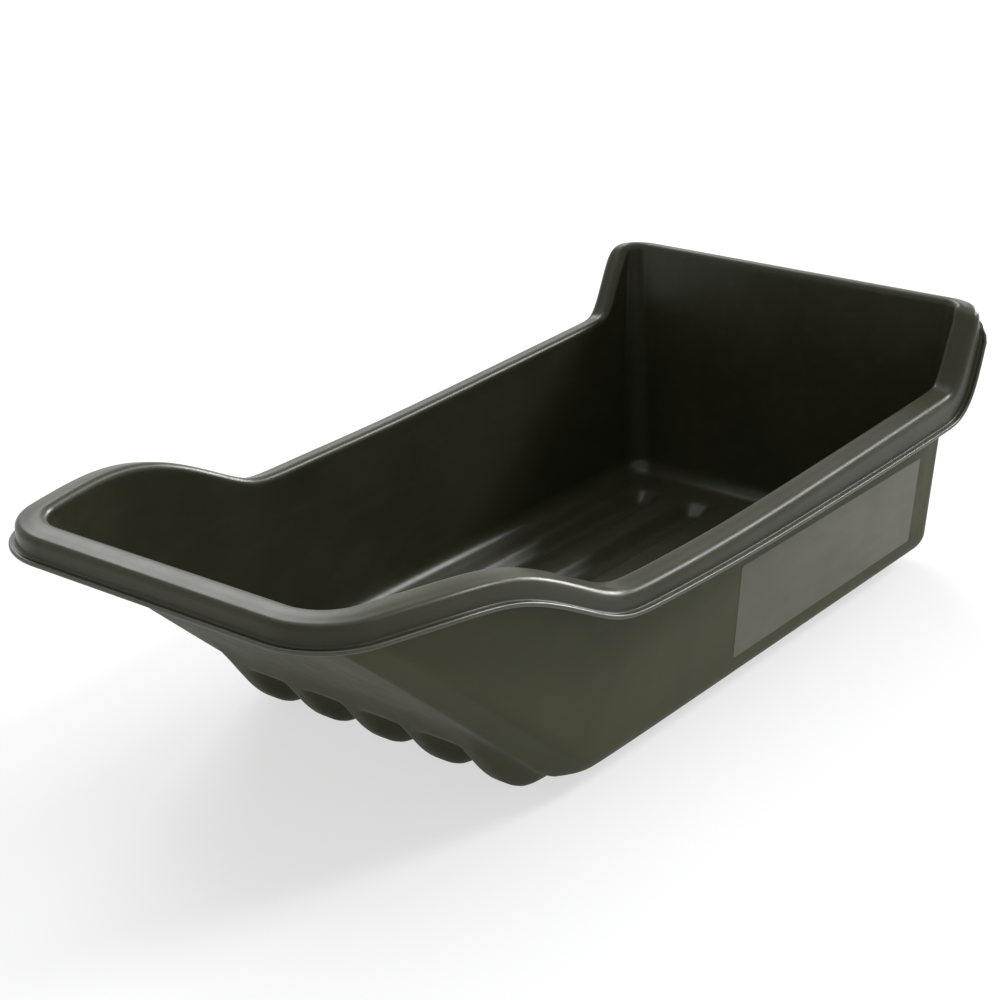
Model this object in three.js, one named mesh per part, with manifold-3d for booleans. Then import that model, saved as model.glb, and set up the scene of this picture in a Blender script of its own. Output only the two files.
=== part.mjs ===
// Ice fishing sled: a one-piece moulded tub with a raised bow, a rolled rim and five moulded
// runners, two blank side films and two tow rings bolted to the ramp under the bow rim.
// Millimetres. +X is the bow, +Y is port, +Z is up. The origin lies on the ground that the
// runners rest on, under the middle of the sled.
import * as THREE from 'three';
import { mergeVertices } from 'three/addons/utils/BufferGeometryUtils.js';
import Module from 'manifold-3d';

// Plan of the rim's outer face. The places along the sled run back from the bow's face or ahead
// from the stern's, and each narrowing is the loss of half width since the place behind it.
const RIM_HALF_LENGTH = 744;
const STERN_HALF_WIDTH = 344;
const WAIST_BEHIND_BOW = 614;
const WAIST_NARROWING = 7;
const CHEEK_BEHIND_BOW = 194;
const CHEEK_NARROWING = 24;
const BOW_NARROWING = 53;
const BOW_CORNER_RADIUS = 100;
const STERN_CORNER_RADIUS = 66;
const WAIST_SOFTNESS = 60;
const CHEEK_SOFTNESS = 31;
const SLOPE_STEP = 0.3;

// Height of the rim above the ground, as seen from the side
const BOW_RIM_HEIGHT = 397;
const HUMP_BEHIND_BOW = 280;
const KINK_BEHIND_BOW = 484;
const WAIST_RIM_HEIGHT = 287.5;
const AFT_RISE_BEHIND_BOW = 777;
const POST_FOOT_AHEAD = 108;
const POST_FOOT_RISE = 27;
const POST_TOP_AHEAD = 63;
const STERN_RIM_HEIGHT = 431;
const HUMP_SOFTNESS = 43;
const KINK_SOFTNESS = 18;
const AFT_SOFTNESS = 60;
const POST_FOOT_SOFTNESS = 8;
const POST_TOP_SOFTNESS = 10;

// Section of the rolled rim
const WALL = 6;
const RIM_BAND = 39.5;
const RIM_CROWN = 4.3;
const RIM_INNER_RADIUS = 10;
const RIM_INNER_DROP = 14;
const BOW_SHOULDER_RADIUS = 9;
const SHOULDER_RADIUS = 14;
const BOW_FACE_DROP = 33;
const AFT_FACE_DROP = 50;
const STERN_FACE_DROP = 34;
const LIP_REACH = 9;
const LIP_FILLET = 4;
const POST_TILT_SHARE = 0.8;

// Tub below the rim, on its inside face
const RUNNER_DEPTH = 20;
const RAMP_BEHIND_BOW = 445;
const BOW_WALL_DEPTH = 20.8;
const RAMP_SOFTNESS = 15;
const TUB_INSET = 58;
const TUB_SOFTNESS = 3;
const WALL_LEAN = 4;
const STERN_LEAN = 8;
const BOW_LEAN = 2.5;
const TUB_BACK_RADIUS = 38;
const TUB_FRONT_RADIUS = 57;
const CORNER_STRIP = 30;
const RAMP_STRIP_HEIGHT = 38;
const BOW_STRIP = 27;
const FLOOR_BACK_RADIUS = 30;
const FLOOR_FRONT_RADIUS = 32;
const BEND_BEFORE_RAMP = 49;
const BEND_INTO_RAMP = 31;

// Moulded runners
const RUNNERS_EACH_SIDE = 2;
const RUNNER_EDGE_MARGIN = 2.25;
const RUNNER_LAND = 7;
const GROOVE_HALF_FLAT = 14;
const RUNNER_NOSE_DEPTH = 26;
const RUNNER_BACK_MARGIN = 26.5;
const RUNNER_BACK_FADE = 45;
const RUNNER_CLIMB = 46;
const RUNNER_NOSE_FADE = 105;
const GROOVE_CLIMB = 92;
const GROOVE_RUNOUT = 12;
const FLOOR_FRONT_MARGIN = 20;
const LAND_TOLERANCE = 0.3;

// Blank side film
const FILM_THICKNESS = 0.4;
const FILM_BACK_AHEAD = 136;
const FILM_LENGTH = 534;
const FILM_ABOVE_CORNER = 7;
const FILM_BELOW_RIM = 82.5;
const FILM_CORNER = 5;
const FILM_STANDOFF = 0.35;

// Tow points
const TOW_INSET = 148;
const TOW_BEHIND_BOW = 66;
const TOW_PLATE_LENGTH = 68;
const TOW_PLATE_WIDTH = 26;
const TOW_PLATE_CORNER = 5;
const TOW_PLATE_THICKNESS = 2.5;
const TOW_STRAP_WIDTH = 17;
const RING_WIRE = 6;
const RING_INNER_WIDTH = 24;
const RING_DEPTH = 20;
const RING_CORNER = 5;
const RING_PLAY = 0.6;
const BOLT_SPACING = 54;
const BOLT_DIAMETER = 6;
const BOLT_HEAD_DIAMETER = 12;
const BOLT_HEAD_HEIGHT = 3.4;
const BOLT_HEAD_EDGE = 1;
const BOLT_END = 2;
const NUT_FLATS = 10;
const NUT_HEIGHT = 6;
const GAP = 0.3;
const MERGE_DISTANCE = 0.003;

// How finely the shapes are cut into facets
const BOW_EDGE_STEPS = 3;
const CORNER_STEPS = 6;
const STERN_CORNER_STEPS = 8;
const ROUND_STEPS = 16;
const FILM_CORNER_STEPS = 4;
const FILM_LENGTH_STEPS = 6;
const FILM_HEIGHT_STEPS = 4;
const PLATE_CORNER_STEPS = 4;
const HALF_ROUND_STEPS = 8;
const HEAD_STEPS = 4;
const NUT_SIDES = 6;
const WIRE_SIDES = 10;
const RING_STEPS = 44;

const polyethylene = { color: new THREE.Color(0x2e2f2a), roughness: 0.42, metalness: 0 };
const film = { color: new THREE.Color(0x3b3c36), roughness: 0.32, metalness: 0 };
const zincedSteel = { color: new THREE.Color(0x9a9c9e), roughness: 0.35, metalness: 1 };

const wasm = await Module();
wasm.setup();

// Adding this to a line bends it upward round zero, over a length of about four softnesses
function knee(t, softness) {
  const u = t / softness;
  return u > 0 ? t + softness * Math.log1p(Math.exp(-u)) : softness * Math.log1p(Math.exp(u));
}

// A line through stations in rising order of x, with its bends rounded
function softLine(stations, x) {
  const slope = (i) => (stations[i + 1].at - stations[i].at) / (stations[i + 1].x - stations[i].x);
  let value = stations[0].at + slope(0) * (x - stations[0].x);
  for (let i = 1; i < stations.length - 1; i += 1) {
    value += (slope(i) - slope(i - 1)) * knee(x - stations[i].x, stations[i].softness);
  }
  return value;
}

function smooth(from, to, x) {
  const t = THREE.MathUtils.clamp((x - from) / (to - from), 0, 1);
  return t * t * (3 - 2 * t);
}

const mix = THREE.MathUtils.lerp;

const [bow, stern] = [RIM_HALF_LENGTH, -RIM_HALF_LENGTH];
const [hump, kink] = [bow - HUMP_BEHIND_BOW, bow - KINK_BEHIND_BOW];
const aftRise = bow - AFT_RISE_BEHIND_BOW;
const [postFoot, postTop] = [stern + POST_FOOT_AHEAD, stern + POST_TOP_AHEAD];
const waistHalfWidth = STERN_HALF_WIDTH - WAIST_NARROWING;
const cheekHalfWidth = waistHalfWidth - CHEEK_NARROWING;
const bowHalfWidth = cheekHalfWidth - BOW_NARROWING;
const planStations = [
  { x: stern, at: STERN_HALF_WIDTH },
  { x: bow - WAIST_BEHIND_BOW, at: waistHalfWidth, softness: WAIST_SOFTNESS },
  { x: bow - CHEEK_BEHIND_BOW, at: cheekHalfWidth, softness: CHEEK_SOFTNESS },
  { x: bow, at: bowHalfWidth },
];
const heightStations = [
  { x: stern, at: STERN_RIM_HEIGHT },
  { x: postTop, at: STERN_RIM_HEIGHT, softness: POST_TOP_SOFTNESS },
  { x: postFoot, at: WAIST_RIM_HEIGHT + POST_FOOT_RISE, softness: POST_FOOT_SOFTNESS },
  { x: aftRise, at: WAIST_RIM_HEIGHT, softness: AFT_SOFTNESS },
  { x: kink, at: WAIST_RIM_HEIGHT, softness: KINK_SOFTNESS },
  { x: hump, at: BOW_RIM_HEIGHT, softness: HUMP_SOFTNESS },
  { x: bow, at: BOW_RIM_HEIGHT },
];

// The ramp runs straight from its foot to the bow wall, which stands below the rim
const floorHeight = WALL + RUNNER_DEPTH;
const tubFront = bow - RIM_BAND - BOW_LEAN;
const tubBack = stern + RIM_BAND + STERN_LEAN;
const rampFoot = bow - RAMP_BEHIND_BOW;
const rampRun = tubFront - rampFoot;
const rampRise = BOW_RIM_HEIGHT - BOW_WALL_DEPTH - floorHeight;
const floorStations = [
  { x: stern, at: floorHeight },
  { x: rampFoot, at: floorHeight, softness: RAMP_SOFTNESS },
  { x: tubFront, at: floorHeight + rampRise },
];

const rimHalfWidth = (x) => softLine(planStations, x);
const rimHeight = (x) => softLine(heightStations, x);
const panelHeight = (x) => softLine(floorStations, x);

// The tub's side is parallel to the keel behind the ramp and follows the rim ahead of it
const tubWidest = STERN_HALF_WIDTH - TUB_INSET;
function tubHalfWidth(x) {
  const following = rimHalfWidth(x) - RIM_BAND - WALL_LEAN;
  return following - knee(following - tubWidest, TUB_SOFTNESS);
}
const floorHalfWidth = (x) => tubHalfWidth(x) - CORNER_STRIP;

function faceDrop(x) {
  const along = mix(BOW_FACE_DROP, AFT_FACE_DROP, smooth(kink, postFoot, x));
  return mix(along, STERN_FACE_DROP, smooth(postFoot, stern + LIP_REACH, x));
}

// The rim's outer shoulder is rounder along the waist than round the bow
function shoulderDepth(x) {
  return mix(SHOULDER_RADIUS, BOW_SHOULDER_RADIUS, smooth(kink, hump, x));
}

// Shares of the way from the bow corner to the stern corner where the rim gets a section
function sideShares() {
  const length = 2 * RIM_HALF_LENGTH;
  const shares = [0];
  const stretches = [
    { to: hump + 2 * HUMP_SOFTNESS, steps: 3 },
    { to: kink + 3 * KINK_SOFTNESS, steps: 6 },
    { to: kink - 3 * KINK_SOFTNESS, steps: 5 },
    { to: aftRise, steps: 2 },
    { to: postFoot + 4 * POST_FOOT_SOFTNESS, steps: 4 },
    { to: stern + STERN_CORNER_RADIUS, steps: 8 },
  ];
  const start = bow - BOW_CORNER_RADIUS;
  let from = start;
  for (const { to, steps } of stretches) {
    for (let i = 1; i <= steps; i += 1) {
      shares.push((start - mix(from, to, i / steps)) / length);
    }
    from = to;
  }
  return shares.map((share) => share / shares[shares.length - 1]);
}
const stationShares = sideShares();

// Port half of a closed outline, from the middle of the bow to the middle of the stern.
// Each point has its place and the outward normal in plan.
function halfOutline({ front, back, side, frontRadius, backRadius }) {
  const points = [];
  const normalAt = (x) => {
    const slope = (side(x - SLOPE_STEP) - side(x + SLOPE_STEP)) / (2 * SLOPE_STEP);
    return new THREE.Vector2(slope, 1).normalize();
  };
  const corner = (centreX, radius) => {
    let x = centreX;
    for (let i = 0; i < CORNER_STEPS; i += 1) {
      x = centreX + radius * normalAt(x).x;
    }
    const normal = normalAt(x);
    return { x, normal, y: side(x) - radius * normal.y };
  };
  const add = (x, y, nx, ny) => points.push({ x, y, nx, ny });
  const frontCentre = front - frontRadius;
  const backCentre = back + backRadius;
  const frontCorner = corner(frontCentre, frontRadius);
  const backCorner = corner(backCentre, backRadius);
  for (let i = 0; i < BOW_EDGE_STEPS; i += 1) {
    add(front, frontCorner.y * (i / BOW_EDGE_STEPS), 1, 0);
  }
  const frontTurn = frontCorner.normal.angle();
  for (let i = 0; i < CORNER_STEPS; i += 1) {
    const turn = frontTurn * (i / CORNER_STEPS);
    const [c, s] = [Math.cos(turn), Math.sin(turn)];
    add(frontCentre + frontRadius * c, frontCorner.y + frontRadius * s, c, s);
  }
  for (const share of stationShares.slice(0, -1)) {
    const x = mix(frontCorner.x, backCorner.x, share);
    const normal = normalAt(x);
    add(x, side(x), normal.x, normal.y);
  }
  const backTurn = backCorner.normal.angle();
  for (let i = 0; i < STERN_CORNER_STEPS; i += 1) {
    const turn = mix(backTurn, Math.PI, i / STERN_CORNER_STEPS);
    const [c, s] = [Math.cos(turn), Math.sin(turn)];
    add(backCentre + backRadius * c, backCorner.y + backRadius * s, c, s);
  }
  for (let i = BOW_EDGE_STEPS; i >= 0; i -= 1) {
    add(back, backCorner.y * (i / BOW_EDGE_STEPS), -1, 0);
  }
  return points;
}

const rimOutline = halfOutline({
  front: bow,
  back: stern,
  side: rimHalfWidth,
  frontRadius: BOW_CORNER_RADIUS,
  backRadius: STERN_CORNER_RADIUS,
});
const tubOutline = halfOutline({
  front: tubFront,
  back: tubBack,
  side: tubHalfWidth,
  frontRadius: TUB_FRONT_RADIUS,
  backRadius: TUB_BACK_RADIUS,
});
const floorFront = tubFront - BOW_STRIP;
const floorBack = tubBack + CORNER_STRIP;
const floorOutline = halfOutline({
  front: floorFront,
  back: floorBack,
  side: floorHalfWidth,
  frontRadius: FLOOR_FRONT_RADIUS,
  backRadius: FLOOR_BACK_RADIUS,
});

// Tilt of the rim's section where the rim climbs, from its slope along the outline
const rimTilt = rimOutline.map((point, i) => {
  const before = rimOutline[Math.max(i - 1, 0)];
  const after = rimOutline[Math.min(i + 1, rimOutline.length - 1)];
  const run = Math.hypot(after.x - before.x, after.y - before.y);
  return POST_TILT_SHARE * Math.atan2(rimHeight(after.x) - rimHeight(before.x), run);
});

// A row of the rim: out from the outer face and up from the shoulder, in the tilted section.
// Each is a length or a function that gives it from the place along the sled.
const lengthAt = (length, x) => (typeof length === 'function' ? length(x) : length);
function rimRow(out, up) {
  return rimOutline.map((point, i) => {
    const reach = lengthAt(out, point.x);
    const rise = lengthAt(up, point.x);
    const back = -rise * Math.sin(rimTilt[i]);
    return new THREE.Vector3(
      point.x + reach * point.nx - back * point.ny,
      point.y + reach * point.ny + back * point.nx,
      rimHeight(point.x) + rise * Math.cos(rimTilt[i]),
    );
  });
}

// Rows of the corner strip between the floor and the side: round behind, flat on the ramp
const bowStripHeight = BOW_STRIP * rampRise / rampRun;
const flatness = (x) => smooth(rampFoot - BEND_BEFORE_RAMP, rampFoot + BEND_INTO_RAMP, x);
const stripHeight = floorOutline.map((point) => {
  const alongSide = mix(CORNER_STRIP, RAMP_STRIP_HEIGHT, flatness(point.x));
  return mix(alongSide, bowStripHeight, smooth(0, 1, point.nx));
});
function stripRow(turn) {
  const flatShare = turn / (Math.PI / 2);
  return floorOutline.map((point, i) => {
    const flat = flatness(point.x);
    const out = mix(Math.sin(turn), flatShare, flat);
    const up = mix(1 - Math.cos(turn), flatShare, flat);
    return new THREE.Vector3(
      mix(point.x, tubOutline[i].x, out),
      mix(point.y, tubOutline[i].y, out),
      panelHeight(point.x) + stripHeight[i] * up,
    );
  });
}

const between = (low, high, share) => low.map((point, i) => point.clone().lerp(high[i], share));

// Rows of the inside face, from the edge of the floor up and over the rim to its lip
const floorEdge = stripRow(0);
const tubBase = stripRow(Math.PI / 2);
const tubTop = rimRow(-RIM_BAND, RIM_CROWN - RIM_INNER_RADIUS - RIM_INNER_DROP / 2);
const bevel = RIM_INNER_RADIUS * (1 - Math.SQRT1_2);
const shoulderEdge = (x) => -shoulderDepth(x);
const shoulderBevel = (x) => shoulderEdge(x) * (1 - Math.SQRT1_2);
const halfRows = [
  floorEdge,
  stripRow(Math.PI / 6),
  stripRow(Math.PI / 3),
  tubBase,
  between(tubBase, tubTop, 0.5),
  tubTop,
  rimRow(-RIM_BAND, RIM_CROWN - RIM_INNER_RADIUS),
  rimRow(-RIM_BAND + bevel, RIM_CROWN - bevel),
  rimRow(-RIM_BAND + RIM_INNER_RADIUS, RIM_CROWN),
  rimRow(shoulderEdge, 0),
  rimRow(shoulderBevel, shoulderBevel),
  rimRow(0, shoulderEdge),
  rimRow(0, (x) => WALL + LIP_FILLET - faceDrop(x)),
  rimRow(LIP_FILLET / 2, (x) => WALL + LIP_FILLET / 4 - faceDrop(x)),
  rimRow(LIP_REACH, (x) => WALL - faceDrop(x)),
];

// Closes a port half row with its mirror image
function closeRow(row) {
  const middle = row.slice(1, -1).reverse();
  return row.concat(middle.map((point) => new THREE.Vector3(point.x, -point.y, point.z)));
}
const rows = halfRows.map(closeRow);

// Runner section across the sled, from 1 on its land to 0 in the groove beside it
const runnersHalfWidth = tubWidest - CORNER_STRIP - RUNNER_EDGE_MARGIN;
const runnerHalfPitch = runnersHalfWidth / (2 * RUNNERS_EACH_SIDE + 1);
const runnerY = (place) => 2 * place * runnerHalfPitch;
const flankFoot = runnerHalfPitch - GROOVE_HALF_FLAT;
const flankShares = [0, 0.31, 0.69, 1];
function runnerShare(y) {
  const place = Math.round(Math.abs(y) / runnerY(1));
  const distance = Math.abs(Math.abs(y) - runnerY(Math.min(place, RUNNERS_EACH_SIDE)));
  return 1 - smooth(RUNNER_LAND, flankFoot, distance);
}

// The grooves between the runners run out on the ramp, into one level with the noses' lands
function loweredShare(x, y) {
  const share = runnerShare(y);
  const level = Math.abs(y) < runnerY(RUNNERS_EACH_SIDE) ? 1 : share;
  return mix(share, level, smooth(grooveFront, grooveFront + GROOVE_RUNOUT, x));
}

// Drop of a runner's land below the floor, which grows on the noses that climb the ramp
const rampAngle = Math.atan2(rampRise, rampRun);
const runnerBack = floorBack + RUNNER_BACK_MARGIN;
const noseFade = rampFoot + RUNNER_CLIMB;
const runnerFront = noseFade + RUNNER_NOSE_FADE;
const grooveFront = rampFoot + GROOVE_CLIMB;
function runnerDrop(x) {
  const climb = 1 / (1 + Math.exp((rampFoot - x) / RAMP_SOFTNESS));
  const depth = mix(RUNNER_DEPTH, RUNNER_NOSE_DEPTH / Math.cos(rampAngle), climb);
  const start = smooth(runnerBack, runnerBack + RUNNER_BACK_FADE, x);
  return depth * start * (1 - smooth(noseFade, runnerFront, x));
}

// Lines of the floor grid across the sled, on the runners' lands and flanks and the grooves
function floorLines() {
  const steps = flankShares.map((share) => mix(RUNNER_LAND, flankFoot, share));
  steps.push(runnerHalfPitch);
  const port = steps.slice();
  for (let place = 1; place <= RUNNERS_EACH_SIDE; place += 1) {
    port.push(...steps.slice(0, -1).reverse().map((step) => runnerY(place) - step));
    port.push(...steps.map((step) => runnerY(place) + step));
  }
  return port.slice().reverse().concat(port.map((y) => -y));
}

function floorStationsX() {
  const stations = [];
  const stretches = [
    { to: runnerBack + RUNNER_BACK_FADE, steps: 3 },
    { to: rampFoot - 4 * RAMP_SOFTNESS, steps: 3 },
    { to: rampFoot + 3 * RAMP_SOFTNESS, steps: 7 },
    { to: grooveFront, steps: 3 },
    { to: grooveFront + GROOVE_RUNOUT, steps: 2 },
    { to: runnerFront, steps: 3 },
    { to: floorFront - FLOOR_FRONT_MARGIN, steps: 2 },
  ];
  let from = runnerBack;
  for (const { to, steps } of stretches) {
    for (let i = 0; i < steps; i += 1) {
      stations.push(mix(from, to, i / steps));
    }
    from = to;
  }
  stations.push(from);
  return stations;
}

// One face of the shell: a floor grid, a seam round it and the rows above, as points and triangles
function insideFace() {
  const points = [];
  const triangles = [];
  const add = (point) => points.push(point) - 1;
  const lines = floorLines();
  const stations = floorStationsX();
  const narrowing = (x) => Math.min(1, floorHalfWidth(x) / (tubWidest - CORNER_STRIP));
  const grid = stations.map((x) => lines.map((y) => {
    const height = panelHeight(x) - loweredShare(x, y) * runnerDrop(x);
    return add(new THREE.Vector3(x, y * narrowing(x), height));
  }));
  const lastStation = stations.length - 1;
  const lastLine = lines.length - 1;
  for (let i = 0; i < lastStation; i += 1) {
    for (let j = 0; j < lastLine; j += 1) {
      triangles.push([grid[i][j], grid[i][j + 1], grid[i + 1][j + 1]]);
      triangles.push([grid[i][j], grid[i + 1][j + 1], grid[i + 1][j]]);
    }
  }
  // The grid's border runs the same way as the rows: bow middle, port, stern, starboard
  const border = [];
  const middle = Math.floor(lines.length / 2) - 1;
  for (let j = middle; j > 0; j -= 1) border.push(grid[lastStation][j]);
  for (let i = lastStation; i > 0; i -= 1) border.push(grid[i][0]);
  for (let j = 0; j < lastLine; j += 1) border.push(grid[0][j]);
  for (let i = 0; i < lastStation; i += 1) border.push(grid[i][lastLine]);
  for (let j = lastLine; j > middle; j -= 1) border.push(grid[lastStation][j]);
  const rings = rows.map((row) => row.map(add));
  let inner = 0;
  let outer = 0;
  const first = rings[0];
  const flatDistance = (a, b) => Math.hypot(points[a].x - points[b].x, points[a].y - points[b].y);
  while (inner < border.length || outer < first.length) {
    const a = border[inner % border.length];
    const b = first[outer % first.length];
    const nextInner = border[(inner + 1) % border.length];
    const nextOuter = first[(outer + 1) % first.length];
    const stepInner = outer >= first.length
      || (inner < border.length && flatDistance(nextInner, b) < flatDistance(a, nextOuter));
    if (stepInner) {
      triangles.push([a, b, nextInner]);
      inner += 1;
    } else {
      triangles.push([a, b, nextOuter]);
      outer += 1;
    }
  }
  for (let k = 0; k < rings.length - 1; k += 1) {
    const [low, high] = [rings[k], rings[k + 1]];
    for (let i = 0; i < low.length; i += 1) {
      const next = (i + 1) % low.length;
      triangles.push([low[i], high[i], high[next]]);
      triangles.push([low[i], high[next], low[next]]);
    }
  }
  return { points, triangles, edge: rings[rings.length - 1] };
}

// Moves every point so that it lies one wall behind each of the triangles that meet there
function behind({ points, triangles }, wall) {
  const normals = points.map(() => []);
  for (const [a, b, c] of triangles) {
    const normal = points[b].clone().sub(points[a]).cross(points[c].clone().sub(points[a]));
    if (normal.length() > 0) {
      normal.normalize();
      for (const corner of [a, b, c]) normals[corner].push(normal);
    }
  }
  const holdShare = 0.0001;
  return points.map((point, i) => {
    const m = new THREE.Matrix3().multiplyScalar(holdShare);
    const pull = new THREE.Vector3();
    const e = m.elements;
    for (const n of normals[i]) {
      const v = [n.x, n.y, n.z];
      for (let r = 0; r < v.length; r += 1) {
        for (let c = 0; c < v.length; c += 1) e[c * v.length + r] += v[r] * v[c];
      }
      pull.addScaledVector(n, -wall);
    }
    const moved = pull.applyMatrix3(m.invert()).add(point);
    if (Math.abs(moved.z) < LAND_TOLERANCE) moved.z = 0;
    return moved;
  });
}

function geometryOf(points, triangles) {
  const geometry = new THREE.BufferGeometry();
  const flat = points.flatMap((point) => [point.x, point.y, point.z]);
  geometry.setAttribute('position', new THREE.Float32BufferAttribute(flat, 3));
  geometry.setIndex(triangles.flat());
  return geometry;
}

function solidOf(geometry) {
  const bare = geometry.clone();
  bare.deleteAttribute('normal');
  bare.deleteAttribute('uv');
  const merged = mergeVertices(bare, MERGE_DISTANCE);
  const vertProperties = new Float32Array(merged.attributes.position.array);
  const triVerts = new Uint32Array(merged.index.array);
  return new wasm.Manifold(new wasm.Mesh({ numProp: 3, vertProperties, triVerts }));
}

function geometryFrom(solid) {
  const mesh = solid.getMesh();
  const geometry = new THREE.BufferGeometry();
  geometry.setAttribute('position', new THREE.Float32BufferAttribute(mesh.vertProperties, 3));
  geometry.setIndex(Array.from(mesh.triVerts));
  return geometry;
}

function cut(geometry, cutters) {
  let solid = solidOf(geometry);
  for (const cutter of cutters) solid = solid.subtract(solidOf(cutter));
  return geometryFrom(solid);
}

// The tow points stand on the ramp's outer face, square to it
const towX = bow - TOW_BEHIND_BOW;
const towY = bowHalfWidth - TOW_INSET;
const towZ = panelHeight(towX) - WALL / Math.cos(rampAngle);
const towFoot = (side) => new THREE.Vector3(towX, side * towY, towZ);
const towFrame = (side) => new THREE.Matrix4()
  .makeRotationY(-rampAngle)
  .setPosition(towFoot(side));
const boltPlaces = [-BOLT_SPACING / 2, BOLT_SPACING / 2];
const holeDiameter = BOLT_DIAMETER + 2 * GAP;

// A bolt hole along local Z, from one depth to another
function holeCutter(y, from, to) {
  const length = to - from;
  const cutter = new THREE.CylinderGeometry(holeDiameter / 2, holeDiameter / 2, length, ROUND_STEPS);
  cutter.rotateX(Math.PI / 2);
  cutter.translate(0, y, from + length / 2);
  return cutter;
}

function makeHull() {
  const inside = insideFace();
  const outside = behind(inside, WALL);
  const count = inside.points.length;
  const triangles = inside.triangles.slice();
  for (const [a, b, c] of inside.triangles) triangles.push([count + a, count + c, count + b]);
  const edge = inside.edge;
  for (let i = 0; i < edge.length; i += 1) {
    const next = edge[(i + 1) % edge.length];
    triangles.push([edge[i], count + edge[i], count + next]);
    triangles.push([edge[i], count + next, next]);
  }
  const cutters = [];
  for (const side of [1, -1]) {
    for (const y of boltPlaces) {
      cutters.push(holeCutter(y, -WALL, 2 * WALL).applyMatrix4(towFrame(side)));
    }
  }
  return cut(geometryOf(inside.points.concat(outside), triangles), cutters);
}

// Place on the outside of the tub's side wall, pushed out by a standoff
function sidePlace(x, z, standoff) {
  const low = new THREE.Vector2(tubHalfWidth(x), panelHeight(x) + CORNER_STRIP);
  const top = RIM_CROWN - RIM_INNER_RADIUS - RIM_INNER_DROP / 2;
  const high = new THREE.Vector2(rimHalfWidth(x) - RIM_BAND, rimHeight(x) + top);
  const share = (z - low.y) / (high.y - low.y);
  const slope = Math.atan2(high.x - low.x, high.y - low.y);
  const y = mix(low.x, high.x, share) + (WALL + standoff) / Math.cos(slope);
  return new THREE.Vector3(x, y, z);
}

// A thin film with round corners that follows the side wall
function makeFilm(side) {
  const columns = [];
  for (let i = 0; i <= FILM_CORNER_STEPS; i += 1) {
    const turn = (Math.PI / 2) * (i / FILM_CORNER_STEPS);
    const along = FILM_CORNER * (1 - Math.cos(turn));
    columns.push({ along, inset: FILM_CORNER * (1 - Math.sin(turn)) });
  }
  const ends = columns.slice().reverse();
  for (let i = 1; i < FILM_LENGTH_STEPS; i += 1) {
    const share = i / FILM_LENGTH_STEPS;
    columns.push({ along: mix(FILM_CORNER, FILM_LENGTH - FILM_CORNER, share), inset: 0 });
  }
  columns.push(...ends.map(({ along, inset }) => ({ along: FILM_LENGTH - along, inset })));
  const back = stern + FILM_BACK_AHEAD;
  const bottom = floorHeight + CORNER_STRIP + FILM_ABOVE_CORNER;
  const top = WAIST_RIM_HEIGHT - FILM_BELOW_RIM;
  const rowsUp = FILM_HEIGHT_STEPS;
  const points = [];
  const triangles = [];
  for (const standoff of [FILM_STANDOFF, FILM_STANDOFF + FILM_THICKNESS]) {
    for (const { along, inset } of columns) {
      for (let k = 0; k <= rowsUp; k += 1) {
        const z = mix(bottom + inset, top - inset, k / rowsUp);
        const place = sidePlace(back + along, z, standoff);
        points.push(new THREE.Vector3(place.x, side * place.y, place.z));
      }
    }
  }
  const high = rowsUp + 1;
  const layer = columns.length * high;
  const quad = (a, b, c, d) => {
    const corners = side > 0 ? [[a, b, c], [a, c, d]] : [[a, c, b], [a, d, c]];
    triangles.push(...corners);
  };
  for (let i = 0; i < columns.length - 1; i += 1) {
    for (let k = 0; k < rowsUp; k += 1) {
      const a = i * high + k;
      const b = a + high;
      quad(a, b, b + 1, a + 1);
      quad(layer + a, layer + a + 1, layer + b + 1, layer + b);
    }
    const base = i * high;
    quad(base, layer + base, layer + base + high, base + high);
    const upper = base + rowsUp;
    quad(upper, upper + high, layer + upper + high, layer + upper);
  }
  const last = (columns.length - 1) * high;
  for (let k = 0; k < rowsUp; k += 1) {
    quad(k, k + 1, layer + k + 1, layer + k);
    quad(last + k, layer + last + k, layer + last + k + 1, last + k + 1);
  }
  return geometryOf(points, triangles);
}

// A flat plate lying across the sled, with round corners and its two bolt holes
function makePlate(from, thickness) {
  const [halfX, halfY] = [TOW_PLATE_WIDTH / 2, TOW_PLATE_LENGTH / 2];
  const r = TOW_PLATE_CORNER;
  const outline = new THREE.Shape();
  outline.moveTo(halfX, -halfY + r);
  outline.lineTo(halfX, halfY - r);
  outline.absarc(halfX - r, halfY - r, r, 0, Math.PI / 2);
  outline.absarc(-halfX + r, halfY - r, r, Math.PI / 2, Math.PI);
  outline.absarc(-halfX + r, -halfY + r, r, Math.PI, 3 * Math.PI / 2);
  outline.absarc(halfX - r, -halfY + r, r, 3 * Math.PI / 2, 2 * Math.PI);
  const settings = { depth: thickness, bevelEnabled: false, curveSegments: PLATE_CORNER_STEPS };
  const plate = new THREE.ExtrudeGeometry(outline, settings);
  plate.translate(0, 0, from);
  return plate;
}

const ringRadius = RING_WIRE / 2;
const strapInner = ringRadius + RING_PLAY;
const strapOuter = strapInner + TOW_PLATE_THICKNESS;
const plateOutside = GAP + TOW_PLATE_THICKNESS;
const pivotOut = plateOutside + RING_PLAY + ringRadius;

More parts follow.
